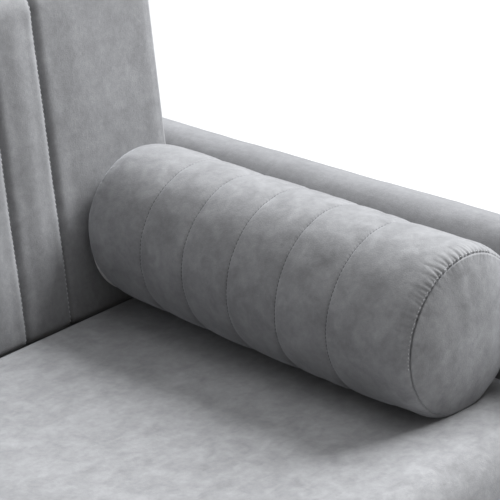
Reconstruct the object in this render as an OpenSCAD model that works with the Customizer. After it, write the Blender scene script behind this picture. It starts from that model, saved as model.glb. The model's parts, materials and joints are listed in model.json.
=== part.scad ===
// Sofa bed with a flat one-piece seat, a channelled backrest that folds down level behind the seat,
// two low padded arms with rounded tops, and a loose round bolster along the inside of each arm.
// X is the width, the front faces -Y and Z is up. The floor is Z = 0, and left and right are as
// seen from the front. Depths are measured from the line where the backrest meets the seat's top.

/* [Seat] */
// Width between the two arms
seat_width = 1800; // [1400:10:2200]
// Depth of the seat, from the front edge to the face of the backrest
seat_depth = 600; // [560:5:680]
// Height of the seat's top above the floor
seat_height = 430; // [410:5:470]
// Thickness of the seat cushion
seat_thickness = 180; // [150:5:200]
// Thickness of the wadding and velvet over the seat's foam
seat_wadding = 20; // [16:1:24]
// Radius of the seat cushion's upper edges
seat_edge_r = 40; // [30:1:50]
// How far the seat's edges lie below its middle
seat_crown = 3; // [0:1:8]
// How far the seat's sides draw in between the corners
seat_draw = 4; // [0:1:8]

/* [Arms] */
// Width of an arm
arm_width = 100; // [80:2:140]
// Height of an arm's crest above the seat's top
arm_rise = 161; // [130:1:200]
// Radius of an arm's upright corners
arm_corner_r = 28; // [20:1:34]
// How far an arm stands forward of the seat
arm_proud = 6; // [2:1:20]
// Thickness of the wadding and velvet on an arm
arm_wadding = 8; // [6:1:12]
// Thickness of the board inside an arm
arm_board_t = 22; // [18:1:28]

/* [Backrest] */
// Length of the backrest's slab, from its lower edge to its top
back_length = 485; // [420:5:560]
// Thickness of the backrest
back_thickness = 150; // [140:2:180]
// How far the backrest leans back from upright, in degrees
recline = 8; // [5:1:14]
// Gap between each end of the backrest and the arm
back_side_gap = 20; // [19:1:34]
// Width of the plain panel at each end of the backrest
plain_panel = 196; // [150:2:240]
// Nearest pitch of the backrest's sewn channels
channel_pitch = 76; // [60:1:110]
// Depth of the sewn channels
channel_depth = 5; // [4:1:10]
// Thickness of the wadding and velvet on the backrest's face
back_wadding = 22; // [20:1:26]

/* [Bolsters] */
// Diameter of a bolster
bolster_d = 200; // [150:5:220]
// Width of each middle panel of a bolster
bolster_channel = 72; // [50:1:80]
// Width of the panel at each end of a bolster
bolster_end_panel = 104; // [70:1:110]
// How far a bolster's sewn rings sit nearer its rear end than its front end
bolster_ring_shift = 13; // [0:1:20]
// Number of middle panels
bolster_channels = 4; // [2:1:4]
// Depth of a bolster's sewn rings
bolster_groove = 2.5; // [2:0.5:6]
// Height of the dome on a bolster's end
bolster_dome = 14; // [6:1:20]
// How far a bolster's front end is swung away from the arm, in degrees
bolster_yaw = 3; // [0:0.5:5]
// Radius of the foam roll inside a bolster, as a part of the bolster's radius
bolster_core_part = 0.86; // [0.8:0.01:0.88]

/* [Base frame] */
// Height of the wooden rails round the base
rail_height = 110; // [90:5:130]
// Thickness of the rails
rail_t = 28; // [26:1:32]
// Thickness of the padded cloth on the front and rear rails
rail_pad = 8; // [4:1:12]
// Width of the middle beam
beam_w = 70; // [60:2:90]
// Side of the blocks in the base's corners
block_side = 90; // [80:2:100]
// Thickness of the corner blocks
block_t = 40; // [30:1:45]
// Width of a slat
slat_w = 68; // [50:1:80]
// Thickness of a slat
slat_t = 15; // [12:1:18]
// Nearest pitch of the slats
slat_pitch = 120; // [100:5:160]
// Height of the battens that carry the slats
batten_h = 30; // [20:1:40]
// Depth of the battens that carry the slats
batten_d = 20; // [16:1:30]
// Thickness of the cloth under the base
dust_cloth_t = 1.5; // [1:0.1:3]
// Depth of the base behind the fold hinge
base_tail = 100; // [50:1:110]

/* [Legs] */
// Radius of a leg at its top
leg_top_r = 24; // [20:1:26]
// Radius of a leg at its foot
leg_foot_r = 15; // [12:0.5:20]
// Side of the steel plate over a leg
leg_plate_side = 76; // [72:1:80]
// Thickness of the plate over a leg
leg_plate_t = 3; // [2:0.5:5]
// Thickness of the plastic glide under a leg
glide_t = 5; // [3:0.5:10]
// Radius of the stud that joins a leg to the base
stud_r = 4; // [3:0.5:5]
// How far the stud reaches into the leg
stud_in_leg = 25; // [15:1:35]
// How far the stud reaches into the base
stud_in_base = 18; // [10:1:25]

/* [Fold hinge] */
// Depth of the hinge axis below the seat's top, and behind the backrest's face
hinge_inset = 40; // [36:1:46]
// How far the backrest reaches below the hinge axis
hinge_drop = 30; // [24:1:34]
// Gap between the turning backrest and the seat
fold_gap = 3; // [3:0.5:8]
// Thickness of the hinge plates
hinge_plate_t = 5; // [4:0.5:6]
// Play between the two plates of a hinge
hinge_play = 2; // [1:0.25:2.5]
// Radius of the hinge plates round the pin
hinge_boss_r = 24; // [18:1:26]
// Radius of the hinge pin
pin_r = 6; // [4:0.5:8]
// Thickness of the hinge pin's head
pin_head_t = 3; // [2:0.5:4]

/* [Backrest frame] */
// Depth of the backrest's rails and stiles
frame_d = 56; // [46:1:60]
// Height of the backrest's rails
back_rail_h = 40; // [34:1:50]
// Width of the backrest's stiles
stile_w = 40; // [34:1:60]
// Thickness of the backrest's slats
back_slat_t = 10; // [8:1:14]
// Thickness of the board behind the backrest
rear_panel_t = 4; // [3:0.5:6]

/* [Fasteners] */
// Radius of the wood screws' shanks
screw_r = 2.5; // [2:0.25:3]
// Radius of the wood screws' heads
screw_head_r = 4.5; // [4:0.25:5]
// Thickness of the wood screws' heads
screw_head_t = 2.5; // [2:0.25:3]
// Length of the wood screws' shanks
screw_length = 32; // [20:1:36]
// Radius of the arm bolts' shanks
bolt_r = 4; // [3:0.5:5]
// Radius of the arm bolts' heads
bolt_head_r = 8; // [6:0.5:10]
// Thickness of the arm bolts' heads
bolt_head_t = 5; // [3:0.5:7]
// How far in from the base's ends the arm bolts stand
bolt_inset = 130; // [100:5:160]

/* [Hidden] */

// Running fit, in the radius, of every pin, bolt and screw in its hole
fit = 0.05;
// Clearance of soft pieces from what they lie against
soft_gap = 0.3;
// How far a cutting shape runs past the face that it cuts
cut = 1;

velvet = "#8f9194";
velvet_dark = "#7d7f83";
wadding_white = "#e4e0d4";
foam_yellow = "#e6d79a";
beech = "#d2b184";
leg_brown = "#6b4a32";
steel = "#a8abb0";
black_cloth = "#303236";
black_plastic = "#26282b";

// Heights
rail_top_z = seat_height - seat_thickness;
leg_height = rail_top_z - rail_height;
plate_z = leg_height - dust_cloth_t - leg_plate_t;
slat_z = rail_top_z - slat_t;
hinge_z = seat_height - hinge_inset;

// Widths, measured from the middle
half_seat = seat_width / 2;
rail_inner_x = half_seat - rail_t;
back_half = half_seat - back_side_gap;
seat_half = half_seat - 2;

// The backrest's face crosses the seat's top at y = 0 here, and centre_y moves the whole sofa so
// that its overall box is centred. The hinge's depth is kept to whole thousandths of a millimetre,
// so that pieces that meet behind it meet exactly.
hinge_y = round(1000 * hinge_inset * (1 - sin(recline)) / cos(recline)) / 1000;
seat_rear_y = hinge_y - hinge_inset - fold_gap;
seat_front_y = -seat_depth;
rail_front_y = seat_front_y + rail_pad;
rail_rear_y = hinge_y + base_tail;
rail_inner_front_y = rail_front_y + rail_t;
rail_inner_rear_y = rail_rear_y - rail_t;
arm_front_y = seat_front_y - arm_proud;
arm_rear_y = rail_rear_y + rail_pad;

// The backrest's own measures: depth from the hinge axis along its thickness, and height along it
back_face = -hinge_inset;
back_rear = back_thickness - hinge_inset;
cover_rear = back_rear - rear_panel_t;
back_low = -hinge_drop;
back_high = back_length - hinge_drop;
back_wall = 12;
back_top_wall = 24;
back_in_low = back_low + back_wall;
back_in_high = back_high - back_top_wall;
back_in_half = back_half - back_wall;
frame_front = cover_rear - frame_d;
stile_inner_x = back_in_half - stile_w;
panel_margin = 12;
back_reach_y = hinge_y + (back_high - panel_margin) * sin(recline) + back_rear * cos(recline);
centre_y = -(arm_front_y + back_reach_y) / 2;

// Legs stand under the middles of the corner blocks and under the middle beam
leg_x = rail_inner_x - block_side / 2;
leg_y_front = rail_inner_front_y + block_side / 2;
leg_y_rear = rail_inner_rear_y - block_side / 2;
leg_spots = [for (x = [-leg_x, 0, leg_x], y = [leg_y_front, leg_y_rear]) [x, y]];
plate_screw_inset = screw_head_r + 5;
plate_screw_at = leg_plate_side / 2 - plate_screw_inset;
plate_screw_spots = [for (x = [-1, 1], y = [-1, 1]) [x * plate_screw_at, y * plate_screw_at]];
plate_screw_length = screw_length / 2;

// The hinge's two plates stand in the gap between the backrest and the arm
hinge_arm_x = back_half;
bracket_x = hinge_arm_x + hinge_plate_t + hinge_play;
bracket_front_y = hinge_y - hinge_inset + fold_gap;
bracket_rear_y = rail_rear_y - 12;
bracket_screw_x = (rail_inner_x + bracket_x) / 2;
bracket_screw_y = [for (k = [1, 3, 5]) bracket_front_y + k * (bracket_rear_y - bracket_front_y) / 6];
hinge_arm_low = 10;
hinge_arm_high = back_length / 3;
hinge_arm_middle = frame_front + frame_d / 2;
hinge_arm_half_w = 20;
arm_screw_z = [hinge_arm_low + 15, (hinge_arm_low + hinge_arm_high) / 2, hinge_arm_high - 15];

bolt_y = [rail_front_y + bolt_inset, rail_rear_y - bolt_inset];
bolt_z = leg_height + (rail_height + block_t) / 2;
bolt_end_x = half_seat + arm_wadding + arm_board_t - 2;

ring_points = 28;
bolster_r = bolster_d / 2;
bolster_seam_r = 0.93 * bolster_r;
bolster_flat = 0.95 * bolster_r;
bolster_core_r = bolster_core_part * bolster_r;
bolster_hollow_r = (bolster_core_r + soft_gap) / cos(180 / ring_points);
bolster_length = bolster_channels * bolster_channel + 2 * bolster_end_panel;
bolster_setback = 5;
bolster_x = half_seat - bolster_r - soft_gap;
bolster_z = seat_height + bolster_flat + soft_gap;

// Mirrored copies: the pieces on the left are the right-hand ones seen in a mirror
module on_side(side) {
    translate([0, centre_y, 0]) mirror([side == "left" ? 1 : 0, 0, 0]) children();
}

module both_sides() {
    on_side("left") children();
    on_side("right") children();
}

module centred() {
    translate([0, centre_y, 0]) children();
}

// A flat shape drawn in depth and height, made solid along X from x0
module plate_along_x(x0, thickness) {
    translate([x0, 0, 0]) rotate([90, 0, 90]) linear_extrude(thickness) children();
}

module rod_along_x(x0, x1, r) {
    translate([x0, 0, 0]) rotate([0, 90, 0]) cylinder(h = x1 - x0, r = r, $fn = 40);
}

// Moves and leans what is drawn in the backrest's own measures to its place on the sofa
module leaning() {
    translate([0, hinge_y, hinge_z]) rotate([-recline, 0, 0]) children();
}

// A wood screw that points up, with its head below z = 0
module screw_up(length) {
    cylinder(h = length, r = screw_r, $fn = 24);
    translate([0, 0, -screw_head_t]) cylinder(h = screw_head_t, r = screw_head_r, $fn = 24);
}

// Base frame
module rail_between_sides(y) {
    translate([-rail_inner_x, y, leg_height]) cube([2 * rail_inner_x, rail_t, rail_height]);
}

module front_rail() {
    color(beech) centred() rail_between_sides(rail_front_y);
}

module rear_rail() {
    color(beech) centred() rail_between_sides(rail_inner_rear_y);
}

module side_rail(side) {
    color(beech) on_side(side) difference() {
        translate([rail_inner_x, rail_front_y, leg_height])
            cube([rail_t, rail_rear_y - rail_front_y, rail_height]);
        for (y = bolt_y)
            translate([0, y, bolt_z]) rod_along_x(rail_inner_x - cut, half_seat + cut, bolt_r + fit);
        for (y = bracket_screw_y)
            translate([bracket_screw_x, y, rail_top_z - screw_length])
                cylinder(h = screw_length + cut, r = screw_r + fit, $fn = 24);
    }
}

module leg_holes(x, y) {
    translate([x, y, leg_height - cut]) cylinder(h = stud_in_base + cut + fit, r = stud_r + fit, $fn = 32);
    for (s = plate_screw_spots)
        translate([x + s.x, y + s.y, leg_height - cut])
            cylinder(h = plate_screw_length + cut, r = screw_r + fit, $fn = 24);
}

module middle_beam() {
    color(beech) centred() difference() {
        translate([-beam_w / 2, rail_inner_front_y, leg_height])
            cube([beam_w, rail_inner_rear_y - rail_inner_front_y, rail_height]);
        for (y = [leg_y_front, leg_y_rear]) leg_holes(0, y);
    }
}

module corner_blocks() {
    color(beech) both_sides() for (y = [leg_y_front, leg_y_rear]) difference() {
        translate([leg_x - block_side / 2, y - block_side / 2, leg_height])
            cube([block_side, block_side, block_t]);
        leg_holes(leg_x, y);
    }
}

module slat_battens() {
    color(beech) both_sides() for (y = [rail_inner_front_y, rail_inner_rear_y - batten_d])
        translate([beam_w / 2, y, slat_z - batten_h])
            cube([rail_inner_x - beam_w / 2, batten_d, batten_h]);
}

// Middles of the slats between two limits, at the pitch nearest to the one asked for
function slat_middles(from, to) =
    let (count = max(1, floor((to - from) / slat_pitch)), pitch = (to - from) / count)
    [for (k = [0 : count - 1]) from + (k + 0.5) * pitch];

module seat_slats() {
    color(beech) both_sides() for (x = slat_middles(beam_w / 2, rail_inner_x))
        translate([x - slat_w / 2, rail_inner_front_y, slat_z])
            cube([slat_w, rail_inner_rear_y - rail_inner_front_y, slat_t]);
}

module rail_cover(y) {
    translate([-half_seat, y, leg_height - dust_cloth_t])
        cube([2 * half_seat, rail_pad, rail_height + dust_cloth_t]);
}

module front_rail_cover() {
    color(velvet) centred() rail_cover(seat_front_y);
}

module rear_rail_cover() {
    color(velvet) centred() rail_cover(rail_rear_y);
}

module dust_cloth() {
    color(black_cloth) centred() difference() {
        translate([-half_seat, rail_front_y, leg_height - dust_cloth_t])
            cube([2 * half_seat, rail_rear_y - rail_front_y, dust_cloth_t]);
        for (p = leg_spots) translate([p.x, p.y, leg_height - dust_cloth_t - cut]) {
            cylinder(h = dust_cloth_t + 2 * cut, r = stud_r + fit, $fn = 32);
            for (s = plate_screw_spots)
                translate([s.x, s.y, 0]) cylinder(h = dust_cloth_t + 2 * cut, r = screw_r + fit, $fn = 24);
        }
    }
}

// Faces between closed loops of points, each loop of n points turning left as seen from the side
// that the loops advance to. The faces close on themselves when wrap is true.
function skin_faces(loops, n, wrap = false) = [
    for (i = [0 : loops - (wrap ? 1 : 2)], j = [0 : n - 1])
        let (a = i * n + j, b = i * n + (j + 1) % n, next = (i + 1) % loops)
        let (c = next * n + (j + 1) % n, d = next * n + j)
        each [[a, c, b], [a, d, c]]
];

// Fans of faces that close the first and the last loop on their own middle points
function first_fan(n, middle) = [for (j = [0 : n - 1]) [middle, j, (j + 1) % n]];
function last_fan(loops, n, middle) = [
    for (j = [0 : n - 1]) [middle, (loops - 1) * n + (j + 1) % n, (loops - 1) * n + j]
];

// Seat cushion: stacked loops, each [height, inset from the widest outline, inset at the rear].
// The rear wall follows the backrest's lean, and its upper edge is nearly square.
seat_corner_r = 46;
corner_steps = 4;
side_draw_in = 2;
side_bulge = 4;
rear_edge_part = 0.12;
// The crown rises over these widths, beyond the rounded edge and beyond the rear edge
seat_slope_w = 43;
seat_rear_slope_w = 10;
seat_side_top_z = seat_height - seat_crown - seat_edge_r;
function seat_rear_at(z) = max(seat_rear_y, (z - seat_height) * tan(recline) - fold_gap);
seat_loops = [
    [rail_top_z, side_bulge, side_bulge],
    [rail_top_z + 14, side_draw_in, side_draw_in],
    [rail_top_z + (seat_thickness - seat_edge_r) / 2, 0, 0],
    [seat_side_top_z, side_draw_in, 0],
    for (a = [22.5 : 22.5 : 90])
        let (inset = seat_edge_r * (1 - cos(a)))
        [seat_side_top_z + seat_edge_r * sin(a), side_draw_in + inset, rear_edge_part * inset],
    [seat_height - seat_crown / 4, seat_edge_r + seat_slope_w, seat_edge_r / 2],
    [seat_height, seat_edge_r + 2 * seat_slope_w, seat_edge_r + seat_rear_slope_w]
];
seat_centre_y = (seat_front_y + seat_rear_y) / 2;
seat_half_depth = (seat_rear_y - seat_front_y) / 2;

// One outline of the cushion, which starts at the right-hand rear corner and turns left
function seat_outline(z, inset, rear_inset) =
    let (r = max(seat_corner_r - inset, 4), w = seat_half - inset - r)
    let (front = seat_front_y + inset + r, rear = seat_rear_at(z) - rear_inset - r)
    let (centres = [[w, rear], [-w, rear], [-w, front], [w, front]], side_steps = [12, 4, 12, 4])
    [for (k = [0 : 3])
        let (c = centres[k], after = centres[(k + 1) % 4], a = 90 * k, out = [cos(a + 90), sin(a + 90)])
        let (draw = k == 0 ? 0 : seat_draw)
        each concat(
            [for (i = [0 : corner_steps]) let (t = a + 90 * i / corner_steps)
                [c.x + r * cos(t), c.y + r * sin(t), z]],
            [for (i = [1 : side_steps[k] - 1])
                let (t = i / side_steps[k], p = c + (after - c) * t + out * (r - draw * sin(180 * t)))
                [p.x, p.y, z]])];

module seat_form() {
    outlines = [for (s = seat_loops) seat_outline(s[0], s[1], s[2])];
    n = len(outlines[0]);
    loops = len(outlines);
    points = concat([for (o = outlines) each o],
        [[0, seat_centre_y, rail_top_z], [0, seat_centre_y, seat_height]]);
    faces = concat(skin_faces(loops, n), first_fan(n, loops * n), last_fan(loops, n, loops * n + 1));
    polyhedron(points = points, faces = faces, convexity = 4);
}

module seat_foam_space(gap) {
    w = seat_half - seat_wadding - gap;
    d = seat_half_depth - seat_wadding - gap;
    translate([-w, seat_centre_y - d, rail_top_z]) cube([2 * w, 2 * d, seat_thickness - seat_wadding - gap]);
}

module seat_foam() {
    color(foam_yellow) centred() seat_foam_space(soft_gap);
}

module seat_cover() {
    color(velvet) centred() difference() {
        seat_form();
        seat_foam_space(0);
        translate([0, 0, -cut]) seat_foam_space(0);
    }
}

// An arm's outer form: upright loops with a round top, set along its depth and drawn in at its ends
arm_top_z = seat_height + arm_rise;
arm_half = arm_width / 2;
arm_end_steps = [0, 30, 60, 90];
arm_stations = concat(
    [for (a = arm_end_steps) [arm_front_y + arm_corner_r * (1 - cos(a)), arm_corner_r * (1 - sin(a))]],
    [for (a = [90, 60, 30, 0]) [arm_rear_y - arm_corner_r * (1 - cos(a)), arm_corner_r * (1 - sin(a))]]
);

function arm_loop(y, inset) =
    let (r = arm_half - inset, x = half_seat + arm_half, z = arm_top_z - arm_half)
    concat([[x + r, y, leg_height], [x - r, y, leg_height]],
        [for (a = [180 : -15 : 0]) [x + r * cos(a), y, z + r * sin(a)]]);

module arm_form() {
    loops = [for (s = arm_stations) arm_loop(s[0], s[1])];
    n = len(loops[0]);
    count = len(loops);
    middle = [half_seat + arm_half, 0, (leg_height + arm_top_z) / 2];
    points = concat([for (l = loops) each l],
        [[middle.x, arm_front_y, middle.z], [middle.x, arm_rear_y, middle.z]]);
    faces = concat(skin_faces(count, n), first_fan(n, count * n), last_fan(count, n, count * n + 1));
    polyhedron(points = points, faces = faces, convexity = 4);
}

// The space inside an arm's cover, drawn in by gap and carried down to z_low
module arm_inside(gap, z_low) {
    r = arm_half - arm_wadding - gap;
    y0 = arm_front_y + 2 * arm_wadding + gap;
    y1 = arm_rear_y - 2 * arm_wadding - gap;
    centre_z = arm_top_z - arm_half;
    translate([half_seat + arm_half, y1, 0]) rotate([90, 0, 0]) linear_extrude(y1 - y0) {
        translate([0, centre_z]) circle(r = r, $fn = 96);
        translate([-r, z_low]) square([2 * r, centre_z - z_low]);
    }
}

module arm_board_space(gap) {
    translate([half_seat + arm_wadding - gap, arm_front_y + arm_corner_r - gap, leg_height - gap])
        cube([arm_board_t + 2 * gap, arm_rear_y - arm_front_y - 2 * arm_corner_r + 2 * gap,
              arm_top_z - arm_half - leg_height + 2 * gap]);
}

module arm_bolt_holes(x1) {
    for (y = bolt_y) translate([0, y, bolt_z]) rod_along_x(half_seat - cut, x1, bolt_r + fit);
}

module arm_board(side) {
    color(beech) on_side(side) difference() {
        arm_board_space(0);
        arm_bolt_holes(bolt_end_x + fit);
    }
}

module arm_foam(side) {
    color(foam_yellow) on_side(side) difference() {
        arm_inside(soft_gap, leg_height);
        arm_board_space(soft_gap);
    }
}

module arm_cover(side) {
    color(velvet) on_side(side) difference() {
        arm_form();
        arm_inside(0, leg_height - cut);
        arm_bolt_holes(half_seat + arm_wadding + cut);
    }
}

module arm_bolts() {
    color(steel) both_sides() for (y = bolt_y) translate([0, y, bolt_z]) {
        rod_along_x(rail_inner_x, bolt_end_x, bolt_r);
        rod_along_x(rail_inner_x - bolt_head_t, rail_inner_x, bolt_head_r);
    }
}

// Legs
module leg_at(x, y) {
    color(leg_brown) centred() translate([x, y, 0]) difference() {
        translate([0, 0, glide_t]) cylinder(h = plate_z - glide_t, r1 = leg_foot_r, r2 = leg_top_r, $fn = 64);
        translate([0, 0, plate_z - stud_in_leg]) cylinder(h = stud_in_leg + cut, r = stud_r + fit, $fn = 32);
    }
}

module leg_studs() {
    color(steel) centred() for (p = leg_spots)
        translate([p.x, p.y, plate_z - stud_in_leg + fit])
            cylinder(h = leg_height + stud_in_base - plate_z + stud_in_leg - fit, r = stud_r, $fn = 32);
}

module leg_plates() {
    color(steel) centred() for (p = leg_spots) translate([p.x, p.y, plate_z]) difference() {
        translate([-leg_plate_side / 2, -leg_plate_side / 2, 0])
            cube([leg_plate_side, leg_plate_side, leg_plate_t]);
        translate([0, 0, -cut]) cylinder(h = leg_plate_t + 2 * cut, r = stud_r + fit, $fn = 32);
        for (s = plate_screw_spots)
            translate([s.x, s.y, -cut]) cylinder(h = leg_plate_t + 2 * cut, r = screw_r + fit, $fn = 24);
    }
}

module leg_plate_screws() {
    color(steel) centred() for (p = leg_spots, s = plate_screw_spots)
        translate([p.x + s.x, p.y + s.y, plate_z])
            screw_up(leg_plate_t + dust_cloth_t + plate_screw_length - fit);
}

module leg_glides() {
    color(black_plastic) centred() for (p = leg_spots)
        translate([p.x, p.y, 0]) cylinder(h = glide_t, r = leg_foot_r - 1, $fn = 48);
}

// Fold hinge, on the base's side
module hinge_bracket(side) {
    color(steel) on_side(side) difference() {
        union() {
            plate_along_x(bracket_x, hinge_plate_t) {
                translate([hinge_y, hinge_z]) circle(r = hinge_boss_r, $fn = 64);
                translate([hinge_y - hinge_boss_r, rail_top_z])
                    square([2 * hinge_boss_r, hinge_z - rail_top_z]);
            }
            translate([rail_inner_x, bracket_front_y, rail_top_z])
                cube([bracket_x + hinge_plate_t - rail_inner_x, bracket_rear_y - bracket_front_y, hinge_plate_t]);
        }
        translate([0, hinge_y, hinge_z])
            rod_along_x(bracket_x - cut, bracket_x + hinge_plate_t + cut, pin_r + fit);
        for (y = bracket_screw_y) translate([bracket_screw_x, y, rail_top_z - cut])
            cylinder(h = hinge_plate_t + 2 * cut, r = screw_r + fit, $fn = 24);
    }
}

module hinge_bracket_screws() {
    color(steel) both_sides() for (y = bracket_screw_y)
        translate([bracket_screw_x, y, rail_top_z + hinge_plate_t]) mirror([0, 0, 1])
            screw_up(screw_length + hinge_plate_t - fit);
}

module hinge_pin(side) {
    head_x = bracket_x + hinge_plate_t;
    color(steel) on_side(side) translate([0, hinge_y, hinge_z]) {
        rod_along_x(hinge_arm_x + soft_gap, head_x, pin_r);
        rod_along_x(head_x, head_x + pin_head_t, pin_r + 3);
    }
}

// Backrest frame
module back_rail(z) {
    centred() leaning() translate([-stile_inner_x, frame_front, z])
        cube([2 * stile_inner_x, frame_d, back_rail_h]);
}

module back_top_rail() {
    color(beech) back_rail(back_in_high - back_rail_h);
}

module back_bottom_rail() {
    color(beech) back_rail(back_in_low);
}

module arm_screw_holes(x0, x1, r) {
    for (z = arm_screw_z) translate([0, hinge_arm_middle, z]) rod_along_x(x0, x1, r);
}

arm_screw_tip_x = hinge_arm_x - screw_length;

module back_stile(side) {
    color(beech) on_side(side) leaning() difference() {
        translate([stile_inner_x, frame_front, back_in_low])
            cube([stile_w, frame_d, back_in_high - back_in_low]);
        arm_screw_holes(arm_screw_tip_x - fit, hinge_arm_x, screw_r + fit);
    }
}

module back_slats() {
    low = back_in_low + back_rail_h;
    color(beech) centred() leaning() for (x = slat_middles(-stile_inner_x, stile_inner_x))
        translate([x - slat_w / 2, frame_front, low])
            cube([slat_w, back_slat_t, back_in_high - back_rail_h - low]);
}

module back_foam() {
    color(foam_yellow) centred() leaning()
        translate([-back_in_half + soft_gap, back_face + back_wadding + soft_gap, back_in_low + soft_gap])
            cube([2 * (back_in_half - soft_gap), frame_front - back_face - back_wadding - 2 * soft_gap,
                  back_in_high - back_in_low - 2 * soft_gap]);
}

module back_rear_panel() {
    color(velvet_dark) centred() leaning()
        translate([-back_half + panel_margin, cover_rear, back_low + panel_margin / 2])
            cube([2 * (back_half - panel_margin), rear_panel_t, back_length - 1.5 * panel_margin]);
}

// Backrest cover: upright loops round the slab, set along X. Each station is [x, how far the form
// is drawn in there], which is full at a channel's seam and at the ends, and none at a crest.
channel_count = max(2, round((2 * back_half - 2 * plain_panel) / channel_pitch));
channel_w = (2 * back_half - 2 * plain_panel) / channel_count;
channel_parts = [0, 0.12, 0.34, 0.66, 0.88];
end_edge_r = 16;
function puff(part, full) = full * pow(abs(2 * part - 1), 2.6);
// The rounding of an end, as parts of its radius: [in from the end, back from the face]
end_round = [[0, 1], [0.08, 0.62], [0.3, 0.28], [1, 0]];
// Where a plain panel starts to fall to its seam, as a part of its width, and its fall there, as a part
// of a channel's depth
panel_fall_at = 0.86;
panel_fall = 0.45;
end_stations = concat(
    [for (e = end_round) [back_half - e[0] * end_edge_r, e[1] * end_edge_r]],
    [[back_half - plain_panel / 2, 0], [back_half - plain_panel * panel_fall_at, channel_depth * panel_fall]]
);
channels_half = channel_w * channel_count / 2;
back_stations = concat(
    [for (s = end_stations) [-s[0], s[1]]],
    [for (k = [0 : channel_count - 1], p = channel_parts)
        [-channels_half + (k + p) * channel_w, puff(p, channel_depth)]],
    [[channels_half, channel_depth]],
    [for (k = [len(end_stations) - 1 : -1 : 0]) end_stations[k]]
);
top_edge_r = 40;
low_edge_r = 28;
rear_edge_r = 10;
face_crown = 2;

function back_loop(x, inset) =
    let (f = back_face + inset, t = back_high - inset, b = back_low + inset / 2)
    [
        [x, cover_rear, b],
        [x, cover_rear, t - rear_edge_r],
        [x, cover_rear - rear_edge_r, t],
        for (a = [0, 30, 60, 90])
            [x, f + face_crown + top_edge_r * (1 - sin(a)), t - top_edge_r * (1 - cos(a))],
        [x, f, (t + b) / 2],
        for (a = [0, 45, 90])
            [x, f + face_crown + low_edge_r * (1 - cos(a)), b + low_edge_r * (1 - sin(a))],
        [x, (f + cover_rear) / 2, b]
    ];

module back_form() {
    loops = [for (s = back_stations) back_loop(s[0], s[1])];
    n = len(loops[0]);
    count = len(loops);
    points = concat([for (l = loops) each l],
        [[-back_half, 0, back_length / 2], [back_half, 0, back_length / 2]]);
    faces = concat(skin_faces(count, n), first_fan(n, count * n), last_fan(count, n, count * n + 1));
    polyhedron(points = points, faces = faces, convexity = 6);
}

module back_cover() {
    depth = cover_rear - back_face - back_wadding;
    color(velvet) centred() leaning() difference() {
        back_form();
        translate([-back_in_half, back_face + back_wadding, back_in_low])
            cube([2 * back_in_half, depth + cut, back_in_high - back_in_low]);
        arm_screw_holes(back_in_half - cut, back_half + cut, screw_r + fit);
        mirror([1, 0, 0]) arm_screw_holes(back_in_half - cut, back_half + cut, screw_r + fit);
    }
}

// Fold hinge, on the backrest's side
module hinge_arm(side) {
    y0 = hinge_arm_middle - hinge_arm_half_w;
    y1 = hinge_arm_middle + hinge_arm_half_w;
    color(steel) on_side(side) leaning() difference() {
        plate_along_x(hinge_arm_x, hinge_plate_t) {
            circle(r = hinge_boss_r, $fn = 64);
            polygon([[0, -hinge_boss_r], [y1, hinge_arm_low - hinge_boss_r], [y1, hinge_arm_high],
                     [y0, hinge_arm_high], [y0, hinge_arm_low + hinge_boss_r], [0, hinge_boss_r]]);
        }
        rod_along_x(hinge_arm_x - cut, hinge_arm_x + hinge_plate_t + cut, pin_r + fit);
        arm_screw_holes(hinge_arm_x - cut, hinge_arm_x + hinge_plate_t + cut, screw_r + fit);
        arm_screw_holes(hinge_arm_x + hinge_plate_t - screw_head_t, hinge_arm_x + hinge_plate_t + cut,
                        screw_head_r + fit);
    }
}

module hinge_arm_screws() {
    seat_x = hinge_arm_x + hinge_plate_t - screw_head_t;
    color(steel) both_sides() leaning() {
        arm_screw_holes(arm_screw_tip_x, seat_x, screw_r);
        arm_screw_holes(seat_x, seat_x + screw_head_t - 2 * fit, screw_head_r);
    }
}

// Bolsters: loops round the roll, set along its length from the rear seam
module bolster_place(side) {
    on_side(side) translate([bolster_x, -bolster_setback, bolster_z])
        rotate([0, 0, -bolster_yaw]) rotate([90, 0, 0]) children();
}

function ring_seam(k) = k == 0 ? 0
    : k > bolster_channels + 1 ? bolster_length
    : bolster_end_panel - bolster_ring_shift + (k - 1) * bolster_channel;
function seam_depth(k) = k == 0 || k > bolster_channels + 1 ? bolster_r - bolster_seam_r : bolster_groove;
panel_parts = [0, 0.1, 0.3, 0.7, 0.9];
bolster_stations = concat(
    [for (k = [0 : bolster_channels + 1], p = panel_parts)
        [ring_seam(k) + p * (ring_seam(k + 1) - ring_seam(k)),
         bolster_r - puff(p, p < 0.5 ? seam_depth(k) : seam_depth(k + 1))]],
    [[bolster_length, bolster_seam_r]]
);

// One loop of the roll, which lies flat where it rests on the seat
function bolster_loop(z, r) = [
    for (j = [0 : ring_points - 1]) let (a = 360 * j / ring_points)
        [r * cos(a), max(r * sin(a), -bolster_flat), z]
];

module bolster_barrel(side) {
    walls = concat([for (s = bolster_stations) bolster_loop(s[0], s[1])],
        [bolster_loop(bolster_length, bolster_hollow_r), bolster_loop(0, bolster_hollow_r)]);
    color(velvet) bolster_place(side)
        polyhedron(points = [for (w = walls) each w], faces = skin_faces(len(walls), ring_points, true),
                   convexity = 6);
}

// One end of the roll: a flat disc of velvet that its filling domes outwards
module bolster_end() {
    parts = [1, 0.82, 0.5];
    loops = concat([bolster_loop(0, bolster_seam_r)],
        [for (p = parts) bolster_loop(p == 1 ? 0.5 : 0.5 + bolster_dome * (1 - pow(p, 2.4)), p * bolster_seam_r)]);
    count = len(loops);
    points = concat([for (l = loops) each l], [[0, 0, 0], [0, 0, bolster_dome]]);
    polyhedron(points = points, convexity = 4,
        faces = concat(skin_faces(count, ring_points), first_fan(ring_points, count * ring_points),
                       last_fan(count, ring_points, count * ring_points + 1)));
}

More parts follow.
